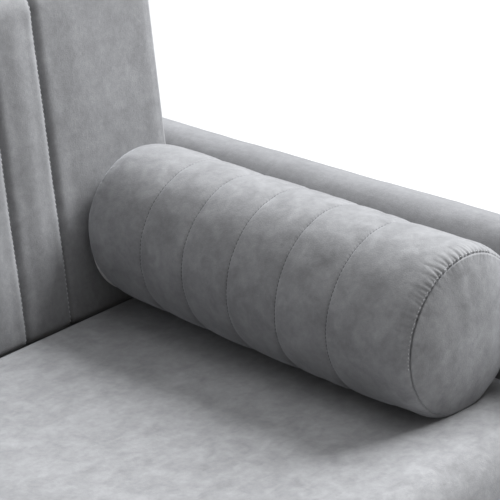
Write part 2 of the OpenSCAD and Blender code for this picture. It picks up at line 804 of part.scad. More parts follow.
module bolster_ends(side) {
    color(velvet) bolster_place(side) {
        translate([0, 0, bolster_length]) bolster_end();
        mirror([0, 0, 1]) bolster_end();
    }
}

module bolster_core(side) {
    color(wadding_white) bolster_place(side)
        translate([0, 0, soft_gap]) cylinder(h = bolster_length - 2 * soft_gap, r = bolster_core_r, $fn = 96);
}

front_rail();
rear_rail();
side_rail("left");  // side_rail_left
side_rail("right");  // side_rail_right
middle_beam();
corner_blocks();
slat_battens();
seat_slats();
seat_foam();
seat_cover();
front_rail_cover();
rear_rail_cover();
dust_cloth();
arm_board("left");  // arm_board_left
arm_board("right");  // arm_board_right
arm_foam("left");  // arm_foam_left
arm_foam("right");  // arm_foam_right
arm_cover("left");  // arm_cover_left
arm_cover("right");  // arm_cover_right
arm_bolts();
leg_at(-leg_x, leg_y_front);  // leg_front_left
leg_at(leg_x, leg_y_front);  // leg_front_right
leg_at(-leg_x, leg_y_rear);  // leg_rear_left
leg_at(leg_x, leg_y_rear);  // leg_rear_right
leg_at(0, leg_y_front);  // leg_middle_front
leg_at(0, leg_y_rear);  // leg_middle_rear
leg_studs();
leg_plates();
leg_plate_screws();
leg_glides();
hinge_bracket("left");  // hinge_bracket_left
hinge_bracket("right");  // hinge_bracket_right
hinge_bracket_screws();
hinge_pin("left");  // hinge_pin_left
hinge_pin("right");  // hinge_pin_right
back_top_rail();
back_bottom_rail();
back_stile("left");  // back_stile_left
back_stile("right");  // back_stile_right
back_slats();
back_foam();
back_cover();
back_rear_panel();
hinge_arm("left");  // hinge_arm_left
hinge_arm("right");  // hinge_arm_right
hinge_arm_screws();
bolster_barrel("left");  // bolster_barrel_left
bolster_barrel("right");  // bolster_barrel_right
bolster_ends("left");  // bolster_ends_left
bolster_ends("right");  // bolster_ends_right
bolster_core("left");  // bolster_core_left
bolster_core("right");  // bolster_core_right
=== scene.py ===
# A sofa bed in grey velvet, seen from above its left front: a seat, a channelled backrest that folds flat,
# two low arms and a loose round bolster along the inside of each. Lengths are in metres, in the row frame.
import json
from math import acos, copysign, cos, hypot, pi, radians, sin, sqrt, tan

import bpy
import numpy as np
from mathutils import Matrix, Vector


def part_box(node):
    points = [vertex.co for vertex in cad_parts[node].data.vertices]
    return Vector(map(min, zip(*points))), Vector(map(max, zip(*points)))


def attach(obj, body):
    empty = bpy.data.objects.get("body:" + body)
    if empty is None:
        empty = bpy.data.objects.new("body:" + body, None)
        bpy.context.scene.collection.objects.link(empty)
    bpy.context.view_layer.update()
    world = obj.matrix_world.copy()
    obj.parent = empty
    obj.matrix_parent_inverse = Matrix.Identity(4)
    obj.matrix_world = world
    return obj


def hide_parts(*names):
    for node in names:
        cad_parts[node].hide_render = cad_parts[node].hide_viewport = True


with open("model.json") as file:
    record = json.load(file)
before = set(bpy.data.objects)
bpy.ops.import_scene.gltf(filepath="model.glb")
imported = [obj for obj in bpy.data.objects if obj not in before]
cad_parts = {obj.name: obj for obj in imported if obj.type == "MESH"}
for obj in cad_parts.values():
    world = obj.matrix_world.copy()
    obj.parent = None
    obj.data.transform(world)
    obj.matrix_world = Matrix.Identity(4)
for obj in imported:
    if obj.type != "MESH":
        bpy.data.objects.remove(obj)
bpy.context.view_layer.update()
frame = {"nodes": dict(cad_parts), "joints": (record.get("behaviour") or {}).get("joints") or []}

# Studio. A pale floor and an even, slightly warm surround as the fill. One large soft light stands high on
# the right, a little to the front, and throws the bolster's shadow across the seat. Two weaker ones shine
# from above and from the rear. All three are slightly blue.
scene = bpy.context.scene
scene.view_settings.view_transform = "Standard"


def add_to_scene(obj):
    """The object, linked to the scene."""
    scene.collection.objects.link(obj)
    return obj


def aim(obj, direction):
    """Turns a camera or a light to look along a direction."""
    obj.rotation_euler = Vector(direction).to_track_quat("-Z", "Y").to_euler()


camera = add_to_scene(bpy.data.objects.new("camera", bpy.data.cameras.new("camera")))
camera.location = (-1.460, -1.8496, 1.730)
camera_turn, camera_dip = radians(50.3), radians(22.2)
aim(camera, (sin(camera_turn) * cos(camera_dip), cos(camera_turn) * cos(camera_dip),
             -sin(camera_dip)))
camera.data.sensor_width = 36
camera.data.lens = 195.1
camera.data.clip_start = 0.05
scene.camera = camera

LIT_CORNER, LIGHT_DISTANCE, LIGHT_TINT = Vector((0.55, 0.05, 0.45)), 5.0, (0.965, 0.982, 1.0)


def soft_light(name, towards, size, power):
    """A square light of that size, in the given direction from the lit corner and facing it."""
    lamp = add_to_scene(bpy.data.objects.new(name, bpy.data.lights.new(name, "AREA")))
    lamp.location = LIT_CORNER + Vector(towards).normalized() * LIGHT_DISTANCE
    aim(lamp, -Vector(towards))
    lamp.data.size = size
    lamp.data.energy = power
    lamp.data.color = LIGHT_TINT


soft_light("key_light", (0.73, -0.17, 0.67), size=2.58, power=478)
soft_light("top_light", (0.15, -0.05, 1.0), size=3.9, power=66)
soft_light("rear_light", (-0.1, 0.65, 0.75), size=3.9, power=88)
scene.world = bpy.data.worlds.new("surround")
scene.world.use_nodes = True
surround = scene.world.node_tree.nodes["Background"].inputs
surround["Color"].default_value = (1.0, 0.99, 0.98, 1)
surround["Strength"].default_value = 0.168


def node(tree, kind, inputs=(), **settings):
    """A shader node with its settings, and its inputs as values or as other nodes' outputs."""
    made = tree.nodes.new("ShaderNode" + kind)
    for key, value in settings.items():
        setattr(made, key, value)
    for key, value in dict(inputs).items():
        if isinstance(value, bpy.types.NodeSocket):
            tree.links.new(value, made.inputs[key])
        else:
            made.inputs[key].default_value = value
    return made


def look_group(name, inputs):
    """A node group that set_look completes, with its inputs and the point of the object that is shaded."""
    tree = bpy.data.node_groups.new(name, "ShaderNodeTree")
    for label, value in inputs.items():
        kind = {1: "NodeSocketFloat", 3: "NodeSocketVector", 4: "NodeSocketColor"}[np.size(value)]
        tree.interface.new_socket(label, in_out="INPUT", socket_type=kind).default_value = value
    return tree, tree.nodes.new("NodeGroupInput").outputs, node(tree, "TexCoord").outputs["Object"]


def set_look(tree, colour, roughness, height):
    """What a look group gives: a colour, a roughness and a height for the bump."""
    given = (("Colour", "Color", colour), ("Roughness", "Float", roughness), ("Height", "Float", height))
    for label, kind, _ in given:
        tree.interface.new_socket(label, in_out="OUTPUT", socket_type="NodeSocket" + kind)
    end = tree.nodes.new("NodeGroupOutput").inputs
    for label, _, value in given:
        tree.links.new(value, end[label])


def noise(at, scale, detail=2.0, low=0.0, high=1.0, distortion=0.0):
    """Noise at a scale per metre, spread so that its middle part runs from low to high."""
    made = node(at.id_data, "TexNoise", {"Vector": at, "Scale": scale, "Detail": detail,
                                         "Distortion": distortion})
    return node(at.id_data, "MapRange", {"Value": made.outputs["Fac"], "From Min": 0.3, "From Max": 0.7,
                                         "To Min": low, "To Max": high}).outputs["Result"]


def maths(operation, a, b):
    """The result of one operation on two values, of which one at least is a node's output."""
    tree = (a if isinstance(a, bpy.types.NodeSocket) else b).id_data
    return node(tree, "Math", {0: a, 1: b}, operation=operation).outputs[0]


def shade(colour, factor):
    """The colour, made lighter or darker by a factor."""
    scaled = node(colour.id_data, "VectorMath", {0: colour, "Scale": factor}, operation="SCALE")
    return scaled.outputs["Vector"]


def material(name, look, values, bump=0.0005, **own):
    """A material with its colour, roughness and bump from a look group, and other values of its own."""
    made = bpy.data.materials.new(name)
    made.use_nodes = True
    tree = made.node_tree
    surface = tree.nodes["Principled BSDF"]
    group = node(tree, "Group", node_tree=look)
    for label, value in values.items():
        group.inputs[label].default_value = value
    relief = node(tree, "Bump", {"Height": group.outputs["Height"], "Distance": bump, "Strength": 1.0})
    tree.links.new(group.outputs["Colour"], surface.inputs["Base Color"])
    tree.links.new(group.outputs["Roughness"], surface.inputs["Roughness"])
    tree.links.new(relief.outputs["Normal"], surface.inputs["Normal"])
    for label, value in own.items():
        surface.inputs[label.replace("_", " ")].default_value = value
    return made


floor_look, got, at = look_group("floor_look", {"Tone": (0.64, 0.64, 0.64, 1)})
set_look(floor_look, shade(got["Tone"], noise(at, 0.8, 3, 0.985, 1.0)), noise(at, 6, 2, 0.55, 0.65),
         noise(at, 300, 2))

FLOOR_HALF = 9
floor_mesh = bpy.data.meshes.new("floor")
floor_corners = [(FLOOR_HALF * x, FLOOR_HALF * y, 0) for x, y in ((-1, -1), (1, -1), (1, 1), (-1, 1))]
floor_mesh.from_pydata(floor_corners, [], [(0, 1, 2, 3)])
floor = add_to_scene(bpy.data.objects.new("floor", floor_mesh))
floor_mesh.materials.append(material("floor_paint", floor_look, {}, bump=0.0001))

# Timber frame. Sawn softwood rails, a middle beam and glued corner blocks carry the seat, boards stand in
# the arms and a frame of stiles, rails and slats fills the backrest. All of it is stapled and glued, and
# hidden by the covers.


def stretched(at, factors):
    """The point where a look is read, with each axis scaled by its factor."""
    return node(at.id_data, "VectorMath", {0: at, 1: factors}, operation="MULTIPLY").outputs["Vector"]


def lifted(base, value, share):
    """A base plus a share of a value."""
    return maths("ADD", base, maths("MULTIPLY", value, share))


wood_look, got, at = look_group("wood_look", {
    "Tone": (0.5, 0.36, 0.22, 1), "Stretch": (1.0, 12.0, 12.0), "Depth": 0.35})
wood_at = stretched(at, got["Stretch"])
wood_rings = node(wood_look, "TexWave", {"Vector": wood_at, "Scale": 2.2, "Distortion": 5.0, "Detail": 3.0,
                                         "Detail Scale": 1.2}, wave_type="RINGS", rings_direction="X")
wood_rings = wood_rings.outputs["Fac"]
wood_dark = maths("MULTIPLY", wood_rings, got["Depth"])
wood_fibre = noise(wood_at, 22, 3, 0.9, 1.08)
wood_ringed = shade(got["Tone"], maths("SUBTRACT", 1.0, wood_dark))
set_look(wood_look, shade(wood_ringed, wood_fibre), lifted(0.5, wood_rings, 0.15),
         maths("ADD", wood_fibre, wood_dark))


def dress(nodes, finish):
    """These CAD nodes are shown with that material, in every slot they have."""
    for name in nodes:
        obj = frame["nodes"][name]
        if not obj.data.materials:
            obj.data.materials.append(None)
        for k in range(len(obj.material_slots)):
            obj.material_slots[k].material = finish


def bare_wood(name, tone, **values):
    """Bare wood in that tone, its grain along X unless another stretch is given."""
    return material(name, wood_look, {"Tone": tone, **values}, Specular_IOR_Level=0.3)


PINE, GRAIN_ALONG_Y = (0.52, 0.37, 0.21, 1), (12.0, 1.0, 12.0)
pine_along_x = bare_wood("pine_along_x", PINE)
pine_along_y = bare_wood("pine_along_y", PINE, Stretch=GRAIN_ALONG_Y)
pine_upright = bare_wood("pine_upright", PINE, Stretch=(12.0, 12.0, 1.0))
plywood = bare_wood("plywood", (0.6, 0.45, 0.27, 1), Stretch=(30.0, 2.0, 2.0), Depth=0.2)
dress(["front_rail", "rear_rail", "back_top_rail", "back_bottom_rail"], pine_along_x)
dress(["side_rail_left", "side_rail_right", "middle_beam"], pine_along_y)
dress(["back_stile_left", "back_stile_right", "corner_blocks"], pine_upright)
dress(["arm_board_left", "arm_board_right"], plywood)

# Slats. Bent birch slats lie across battens in the seat and upright slats stand in the backrest. They carry
# the foam.
birch = {"Tone": (0.66, 0.5, 0.3, 1), "Depth": 0.18}
slat_birch = material("slat_birch", wood_look, birch, Coat_Weight=0.15)
slat_birch_across = material("slat_birch_across", wood_look, {**birch, "Stretch": GRAIN_ALONG_Y},
                             Coat_Weight=0.15)
dress(["slat_battens"], slat_birch)
dress(["seat_slats", "back_slats"], slat_birch_across)

# Legs. Turned and tapered hardwood, stained dark and lacquered, each screwed by its steel stud into a plate
# on the frame, with a grey plastic glide pressed on its foot.
legs = ["leg_front_left", "leg_front_right", "leg_rear_left", "leg_rear_right", "leg_middle_front",
        "leg_middle_rear"]
stained_wood = material("stained_wood", wood_look, {
    "Tone": (0.075, 0.04, 0.022, 1), "Stretch": (14.0, 14.0, 1.0), "Depth": 0.5},
    bump=0.0003, Coat_Weight=0.35, Coat_Roughness=0.25)
dress(legs, stained_wood)

metal_look, got, at = look_group("metal_look", {"Tone": (0.6, 0.61, 0.62, 1), "Wear": 0.12})
metal_patches = node(metal_look, "TexVoronoi", {"Vector": at, "Scale": 180.0}).outputs["Distance"]
metal_scuffs = noise(at, 400, 3)
metal_worn = maths("SUBTRACT", 1.05, maths("MULTIPLY", metal_patches, got["Wear"]))
set_look(metal_look, shade(got["Tone"], metal_worn), lifted(0.3, metal_scuffs, 0.18),
         metal_scuffs)
zinc = material("zinc_plate", metal_look, {}, bump=0.00005, Metallic=1.0)
dress(["leg_studs", "leg_plates", "leg_plate_screws"], zinc)

plastic_look, got, at = look_group("plastic_look", {"Tone": (0.05, 0.05, 0.052, 1)})
set_look(plastic_look, shade(got["Tone"], noise(at, 60, 2, 0.9, 1.1)), noise(at, 250, 2, 0.42, 0.6),
         noise(at, 1500, 2))
dress(["leg_glides"], material("glide_plastic", plastic_look, {}, bump=0.0001))

# Dust cloth. One sheet of thin black spunbond cloth, stapled tight under the seat frame from rail to rail,
# with a small hole for each leg's stud. It dips a little between the rails.
spunbond_look, got, at = look_group("spunbond_look", {"Tone": (0.018, 0.018, 0.02, 1)})
spunbond_dots = node(spunbond_look, "TexVoronoi", {"Vector": at, "Scale": 600.0, "Randomness": 0.15})
spunbond_dots = spunbond_dots.outputs["Distance"]
spunbond_factor = maths("MULTIPLY", maths("ADD", 0.6, spunbond_dots), noise(at, 90, 4, 0.7, 1.3))
set_look(spunbond_look, shade(got["Tone"], spunbond_factor), noise(at, 200, 2, 0.75, 0.9), spunbond_dots)


def mesh_object(name, points, faces, finish):
    """A smooth mesh object from points and faces, with one material."""
    mesh = bpy.data.meshes.new(name)
    mesh.from_pydata(points, [], faces)
    mesh.update()
    mesh.materials.append(finish)
    mesh.polygons.foreach_set("use_smooth", [True] * len(mesh.polygons))
    return add_to_scene(bpy.data.objects.new(name, mesh))


CLOTH_MARGIN, CLOTH_SAG, STUD_HOLE = 0.001, 0.0003, 0.014
cloth_low, cloth_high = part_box("dust_cloth")
cloth_columns, cloth_rows = 150, 58
cloth_x = np.linspace(cloth_low.x + CLOTH_MARGIN, cloth_high.x - CLOTH_MARGIN, cloth_columns + 1)
cloth_y = np.linspace(cloth_low.y + CLOTH_MARGIN, cloth_high.y - CLOTH_MARGIN, cloth_rows + 1)
cloth_gx, cloth_gy = np.meshgrid(cloth_x, cloth_y, indexing="ij")
cloth_dip = np.cos(pi * cloth_gx / (cloth_high.x - cloth_low.x)) * np.sin(
    pi * (cloth_gy - cloth_low.y) / (cloth_high.y - cloth_low.y))
cloth_waves = 1 + 0.4 * np.sin(cloth_gx * 31) * np.sin(cloth_gy * 23)
cloth_z = (cloth_low.z + cloth_high.z) / 2 - CLOTH_SAG * cloth_dip * cloth_waves
leg_centres = [sum(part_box(name), Vector()) / 2 for name in legs]
cloth_faces = []
for i in range(cloth_columns):
    for j in range(cloth_rows):
        x, y = (cloth_x[i] + cloth_x[i + 1]) / 2, (cloth_y[j] + cloth_y[j + 1]) / 2
        if all(hypot(x - centre.x, y - centre.y) > STUD_HOLE for centre in leg_centres):
            a = i * (cloth_rows + 1) + j
            cloth_faces.append((a, a + cloth_rows + 1, a + cloth_rows + 2, a + 1))
cloth_points = np.stack([cloth_gx, cloth_gy, cloth_z], -1).reshape(-1, 3).tolist()
black_spunbond = material("black_spunbond", spunbond_look, {}, bump=0.0002, Sheen_Weight=0.1)
dust_cloth = mesh_object("dust_cloth_sheet", cloth_points, cloth_faces, black_spunbond)
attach(dust_cloth, "base")
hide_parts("dust_cloth")

# Foam and wadding. Cut blocks of cream foam fill the seat and the backrest, thin foam lies on the arm boards,
# and each bolster is a foam roll in white fibre wadding.
foam_look, got, at = look_group("foam_look", {"Tone": (0.75, 0.66, 0.42, 1), "Cells": 900.0})
foam_cells = node(foam_look, "TexVoronoi", {"Vector": at, "Scale": got["Cells"]}).outputs["Distance"]
set_look(foam_look, shade(got["Tone"], lifted(0.8, foam_cells, 0.35)), noise(at, 50, 2, 0.85, 0.95),
         foam_cells)
foam = material("cream_foam", foam_look, {}, bump=0.0006)
fibre = material("white_wadding", foam_look, {"Tone": (0.82, 0.82, 0.8, 1), "Cells": 350.0}, bump=0.0015,
                 Sheen_Weight=0.4)
dress(["seat_foam", "arm_foam_left", "arm_foam_right", "back_foam"], foam)
dress(["bolster_core_left", "bolster_core_right"], fibre)

# Seat. One firm block the whole length of the sofa under a single piece of velvet, rounded over the front
# and ends and nearly square at the back, where it meets the backrest. The pile is brushed in soft streaks
# and clouds.
velvet_look, got, at = look_group("velvet_look", {
    "Tone": (0.3, 0.3, 0.307, 1), "Clouds": 0.12, "Streaks": 0.08, "Along": (2.0, 14.0, 14.0)})
velvet_clouds = noise(at, 45, 4, -1, 1, 0.5)
velvet_patches = noise(at, 9, 3, -0.5, 0.5, 0.8)
velvet_streaks = noise(stretched(at, got["Along"]), 6.0, 4, -1, 1, 1.2)
velvet_tufts = noise(at, 170, 3, -1, 1)
velvet_grain = noise(at, 700, 2, -1, 1)
velvet_factor = lifted(1.0, maths("ADD", velvet_clouds, velvet_patches), got["Clouds"])
for value, share in ((velvet_streaks, got["Streaks"]), (velvet_tufts, 0.06), (velvet_grain, 0.05)):
    velvet_factor = maths("MULTIPLY", velvet_factor, lifted(1.0, value, share))
velvet_height = lifted(maths("MULTIPLY", velvet_tufts, 0.4), velvet_grain, 0.5)
set_look(velvet_look, shade(got["Tone"], velvet_factor), lifted(0.78, velvet_clouds, -0.06), velvet_height)


def velvet(name, **values):
    """Velvet with a pale sheen, its tone, clouds and streaks as given."""
    return material(name, velvet_look, values, bump=0.00009, Specular_IOR_Level=0.15, Sheen_Weight=0.55,
                    Sheen_Roughness=0.4, Sheen_Tint=(0.93, 0.95, 1.0, 1))


def outline(corners):
    """A rounded polygon. Each corner is (a, b, radius, steps round it, steps on the straight after it)."""
    arcs = []
    for k, (a, b, radius, steps, _) in enumerate(corners):
        here = np.array([a, b])
        back = np.array(corners[k - 1][:2]) - here
        on = np.array(corners[(k + 1) % len(corners)][:2]) - here
        back, on = back / np.linalg.norm(back), on / np.linalg.norm(on)
        half = acos(np.clip(back @ on, -1, 1)) / 2
        centre = here + (back + on) / np.linalg.norm(back + on) * radius / sin(half)
        spoke = here + back * radius / tan(half) - centre
        way_round = copysign(1, on[0] * back[1] - on[1] * back[0])
        turn = np.linspace(0, pi - 2 * half, steps + 1) * way_round
        arcs.append(centre + np.stack([spoke[0] * np.cos(turn) - spoke[1] * np.sin(turn),
                                       spoke[0] * np.sin(turn) + spoke[1] * np.cos(turn)], -1))
    parts = []
    for k, corner in enumerate(corners):
        parts.append(arcs[k])
        ahead = arcs[(k + 1) % len(corners)][0]
        share = np.linspace(0, 1, corner[4] + 1)[1:-1, None]
        parts.append(arcs[k][-1] * (1 - share) + ahead * share)
    return np.concatenate(parts)


def at_stations(xs, outlines):
    """A grid of loops: flat outlines, each put at its station along the first axis."""
    loops = np.array(outlines)
    return np.concatenate([np.broadcast_to(xs[:, None, None], loops.shape[:2] + (1,)), loops], -1)


def skin_faces(stations, points):
    """Quads between neighbouring loops, and a flat face on each end."""
    i, j = np.meshgrid(np.arange(stations - 1), np.arange(points), indexing="ij")
    a, b = i * points + j, i * points + (j + 1) % points
    quads = np.stack([a, b, b + points, a + points], -1).reshape(-1, 4).tolist()
    return quads + [list(range(points))[::-1], list(range((stations - 1) * points, stations * points))]


def skin(name, grid, finish):
    """A closed mesh over a grid of loops, with its faces outwards."""
    stations, points = grid.shape[:2]
    faces = skin_faces(stations, points)
    i, j = stations // 2, points // 4
    face_normal = np.cross(grid[i, (j + 1) % points] - grid[i, j], grid[i + 1, j] - grid[i, j])
    if face_normal @ (grid[i, j] - grid[i].mean(0)) < 0:
        faces = [face[::-1] for face in faces]
    return mesh_object(name, grid.reshape(-1, 3).tolist(), faces, finish)


def padded_velvet(name, grid, finish, body, replaced):
    """A padded velvet piece over a grid of loops, on a body, replacing a CAD node where one is given."""
    piece = skin(name, grid, finish)
    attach(piece, body)
    if replaced:
        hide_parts(replaced)


def spread(values, at, to):
    """Values known at the stations `at` along the first axis, read at `to` on a smooth curve through them."""
    slope = np.gradient(values, at, axis=0)
    k = np.clip(np.searchsorted(at, to, side="right") - 1, 0, len(at) - 2)
    shape = (-1,) + (1,) * (values.ndim - 1)
    step = (at[k + 1] - at[k]).reshape(shape)
    f = ((to - at[k]) / (at[k + 1] - at[k])).reshape(shape)
    return ((1 + 2 * f) * (1 - f) ** 2 * values[k] + f * (1 - f) ** 2 * step * slope[k]
            + f ** 2 * (3 - 2 * f) * values[k + 1] + f ** 2 * (f - 1) * step * slope[k + 1])


def finer(values, at, to, times):
    """A coarse grid of moves, spread over finer stations and over `times` as many points round each loop."""
    values = spread(values, at, to)
    count = values.shape[1]
    wrapped = np.concatenate([values[:, -3:], values, values[:, :3]], 1).swapaxes(0, 1)
    read = spread(wrapped, np.arange(-3.0, count + 3), np.arange(count * times) / times)
    return read.swapaxes(0, 1)


def swell(grid, held, cap, pressure=4.0, slack=0.0):
    """Cloth simulation of a closed skin over the grid: how far each point moves as its filling presses it
    outwards. Points are held by their share in `held`, and none moves further than the cap."""
    obj = skin("swelling", grid, None)
    group = obj.vertex_groups.new(name="held")
    for index, weight in enumerate(held.reshape(-1)):
        if weight > 0:
            group.add([index], float(weight), "REPLACE")
    modifier = obj.modifiers.new("cloth", "CLOTH")
    modifier.collision_settings.use_collision = False
    cloth = modifier.settings
    cloth.quality = 6
    cloth.mass = 0.3
    cloth.tension_stiffness = cloth.compression_stiffness = 12
    cloth.shear_stiffness = 4
    cloth.bending_stiffness = 0.4
    cloth.shrink_min = -slack
    cloth.use_pressure = True
    cloth.uniform_pressure_force = pressure
    cloth.vertex_group_mass = "held"
    cloth.effector_weights.gravity = 0
    last_frame = 20
    for number in range(1, last_frame + 1):
        scene.frame_set(number)
    read = np.empty(grid.size, np.float32)
    obj.evaluated_get(bpy.context.evaluated_depsgraph_get()).data.vertices.foreach_get("co", read)
    bpy.data.objects.remove(obj)
    scene.frame_set(1)
    moved = read.reshape(grid.shape) - grid
    length = np.linalg.norm(moved, axis=-1, keepdims=True)
    return moved * np.minimum(1, cap / np.maximum(length, 1e-9))


def unit(vectors):
    """The vectors, each made one long."""
    return vectors / np.maximum(np.linalg.norm(vectors, axis=-1, keepdims=True), 1e-12)


def outwards(grid):
    """The outward direction at each point of a grid of loops."""
    normal = unit(np.cross(np.roll(grid, -1, 1) - np.roll(grid, 1, 1), np.gradient(grid, axis=0)))
    out = (normal * (grid - grid.mean(1, keepdims=True))).sum(-1).mean()
    return -normal if out < 0 else normal


def ripple(points, seed, size, count=9):
    """A smooth random height from -1 to 1 at each point, with waves of about that size."""
    rng = np.random.default_rng(seed)
    height = np.zeros(points.shape[:-1])
    for _ in range(count):
        way = rng.normal(size=3)
        way *= 2 * pi / (size * rng.uniform(0.7, 1.6) * np.linalg.norm(way))
        height += np.sin(points @ way + rng.uniform(0, 2 * pi))
    return height / sqrt(count) * 0.8


def uneven(points, depth, *waves):
    """How deep a soft cover lies at each point: a depth and waves, each of them (height, seed, size)."""
    for height, seed, size in waves:
        depth = depth + height * ripple(points, seed, size)
    return depth


def settled(grid, moved, depth):
    """A grid of loops, moved and then pressed in by a depth."""
    return grid + moved - outwards(grid) * depth[..., None]


def near(distance, reach):
    """1 at no distance, evenly down to 0 at the reach and beyond."""
    return np.clip(1 - np.asarray(distance, float) / reach, 0, 1)


def ramp(distance, reach):
    """0 at no distance and before, evenly up to 1 at the reach and beyond."""
    return np.clip(distance / reach, 0, 1)


def round_in(distance, reach, depth=None):
    """How far a quarter round falls back at a distance in from its outer edge. It is as deep as its reach, or
    as deep as given."""
    return (depth or reach) * (1 - np.sqrt(1 - near(distance, reach) ** 2))


def end_stations(half, step, closeness=(0.0002, 0.0015, 0.004, 0.008, 0.013, 0.019, 0.027, 0.036, 0.048)):
    """Stations from -half to half, a step apart, and closer together where the ends round over."""
    beside = [half - c for c in closeness]
    inner = half - closeness[-1]
    middle = np.linspace(-inner, inner, 2 * int(round(inner / step)) + 1)
    return np.array([-half] + [-b for b in beside[:-1]] + list(middle) + beside[:-1][::-1] + [half])


def halved(stations):
    """The stations with one more midway between each two."""
    return np.unique(np.concatenate([stations, (stations[1:] + stations[:-1]) / 2]))


# The cushion is fuller than the CAD's, and its underside clears the rail covers that turn in below it.
SEAT_FULLER, SEAT_CLEAR = 0.003, 0.001
SEAT_EDGE, SEAT_END_EDGE, SEAT_CORNER, SEAT_REAR_CORNER = 0.040, 0.028, 0.046, 0.02
SEAT_BOW, SEAT_REAR_OUT, SEAT_UNDERCUT = 0.003, 0.0005, 0.022
SEAT_LEAN, SEAT_LEAN_LOW, SEAT_LEAN_TOP = 0.0055, 0.13, 0.039
seat_low, seat_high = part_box("seat_cover")
seat_high.z += SEAT_FULLER
seat_low.z += SEAT_CLEAR


def seat_loops(xs, times):
    """Cross-sections of the seat at those stations, from the rear bottom edge up, forwards and down again."""
    outlines = []
    for x in xs:
        side = seat_high.x - abs(x)
        top = seat_high.z - round_in(side, SEAT_EDGE)
        bow = SEAT_BOW * cos(pi * x / (2 * seat_high.x)) ** 0.5
        front = seat_low.y + round_in(side, SEAT_CORNER) + bow
        rear = seat_high.y + SEAT_REAR_OUT - round_in(side, SEAT_REAR_CORNER)
        edge = SEAT_EDGE - min(round_in(side, SEAT_EDGE), SEAT_END_EDGE)
        outlines.append(outline([
            (rear - SEAT_UNDERCUT, seat_low.z, 0.003, times, 3 * times),
            (rear - SEAT_LEAN, seat_high.z - SEAT_LEAN_LOW, 0.02, 2 * times, 2 * times),
            (rear - SEAT_LEAN, seat_high.z - SEAT_LEAN_TOP, 0.02, times, times),
            (rear, top, 0.0035, 2 * times, 24 * times), (front, top, edge, 5 * times, 5 * times),
            (front, seat_low.z, 0.006, times, 8 * times)]))
    return at_stations(xs, outlines)


SEAT_SOFT_DEPTH, SEAT_HELD_REAR, SEAT_HELD_END = 0.10, 0.012, 0.02
SEAT_FIRM_REAR, SEAT_FADE, SEAT_END_FADE = 0.004, 0.05, 0.06
seat_coarse_x = end_stations(seat_high.x, 0.030)
seat_x = halved(seat_coarse_x)
seat_coarse = seat_loops(seat_coarse_x, 1)
seat_held = ((seat_coarse[..., 2] < seat_high.z - SEAT_SOFT_DEPTH)
             | (seat_coarse[..., 1] > seat_high.y - SEAT_HELD_REAR)
             | (np.abs(seat_coarse[..., 0]) > seat_high.x - SEAT_HELD_END)).astype(float)
seat_grid = seat_loops(seat_x, 3)
seat_moved = finer(swell(seat_coarse, seat_held, cap=0.004), seat_coarse_x, seat_x, 3)
seat_inset = ramp(seat_high.y - SEAT_FIRM_REAR - seat_grid[..., 1], SEAT_FADE) * ramp(
    seat_high.x - np.abs(seat_grid[..., 0]), SEAT_END_FADE) * ramp(seat_grid[..., 2] - seat_low.z, SEAT_FADE)
seat_uneven = uneven(seat_grid, 0.0016, (0.0009, 3, 0.16), (0.0005, 4, 0.05))
seat_grid = settled(seat_grid, seat_moved, seat_inset * seat_uneven)
seat_grid[..., 2] = np.minimum(seat_grid[..., 2], seat_high.z)
seat_grid[..., 1] = np.maximum(seat_grid[..., 1], seat_low.y)
# The seat's velvet is painted a little lighter than the same velvet elsewhere: painted light.
seat_velvet_painted_light = velvet("velvet_seat_painted_light", Tone=(0.32, 0.32, 0.327, 1), Clouds=0.11, Streaks=0.07,
                     Along=(5.0, 11.0, 11.0))
padded_velvet("seat_velvet", seat_grid, seat_velvet_painted_light, "base", "seat_cover")

# Rail covers. Strips of the same velvet over thin wadding, wrapped round the front and the rear rail, turned
# over their tops and in round their ends, and stapled.
COVER_TURN, COVER_CLOTH, COVER_SOFT = 0.028, 0.0008, 0.006
COVER_STEP, COVER_END, COVER_END_INSET = 0.002, 0.001, 0.0003
rail_velvet = velvet("velvet_rails", Clouds=0.08)
past_end = np.array([0.0002, 0.0009, 0.0011])
for name in ("front_rail_cover", "rear_rail_cover"):
    rail_low, rail_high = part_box(name)
    outer, inner = (rail_low.y, rail_high.y) if name == "front_rail_cover" else (rail_high.y, rail_low.y)
    into = copysign(1, inner - outer)
    turned = inner + into * COVER_TURN
    rail_x = end_stations(rail_high.x, 0.012, (0.0002, 0.0012, 0.003, 0.006))
    rail_x = np.concatenate([-rail_high.x - past_end[::-1], rail_x, rail_high.x + past_end])
    outlines = []
    for x in rail_x:
        past = abs(x) - rail_high.x
        inset = COVER_END_INSET if past > COVER_END else 0
        step = inner + into * (COVER_TURN - COVER_STEP if past > 0 else 0)
        under = rail_high.z - (COVER_END if past > 0 else 0)
        face, foot, over = outer + into * inset, rail_low.z + inset, rail_high.z + COVER_CLOTH - inset
        outlines.append(outline([
            (face, foot, 0.0035, 3, 10), (step, foot, 0.0004, 1, 8), (step, under, 0.0003, 1, 6),
            (turned, under, 0.0002, 1, 1), (turned, over, 0.0002, 1, 8), (face, over, 0.0038, 3, 14)]))
    rail_grid = at_stations(rail_x, outlines)
    soft = near(np.abs(rail_grid[..., 1] - outer), COVER_SOFT)
    rail_grid[..., 1] += into * soft * uneven(rail_grid, 0.0004, (0.0004, 11, 0.12))
    padded_velvet(name.replace("cover", "velvet"), rail_grid, rail_velvet, "base", name)

# Arms. A plywood board in thin foam and wadding, under one piece of velvet that rolls over the top in a half
# round and tucks under. Bolts through the board hold each arm to the side rail.
ARM_ROUND, ARM_HELD, ARM_FADE = 0.028, 0.03, 0.05
ARM_ENDS = (0.0002, 0.001, 0.003, 0.006, 0.010, 0.015, 0.021, ARM_ROUND)
# The arms' velvet is painted darker than the same velvet elsewhere: painted shade.
arm_velvet = velvet("velvet_arms_painted_shade", Tone=(0.26, 0.26, 0.267, 1), Clouds=0.07, Streaks=0.05,
                    Along=(14.0, 2.0, 14.0))


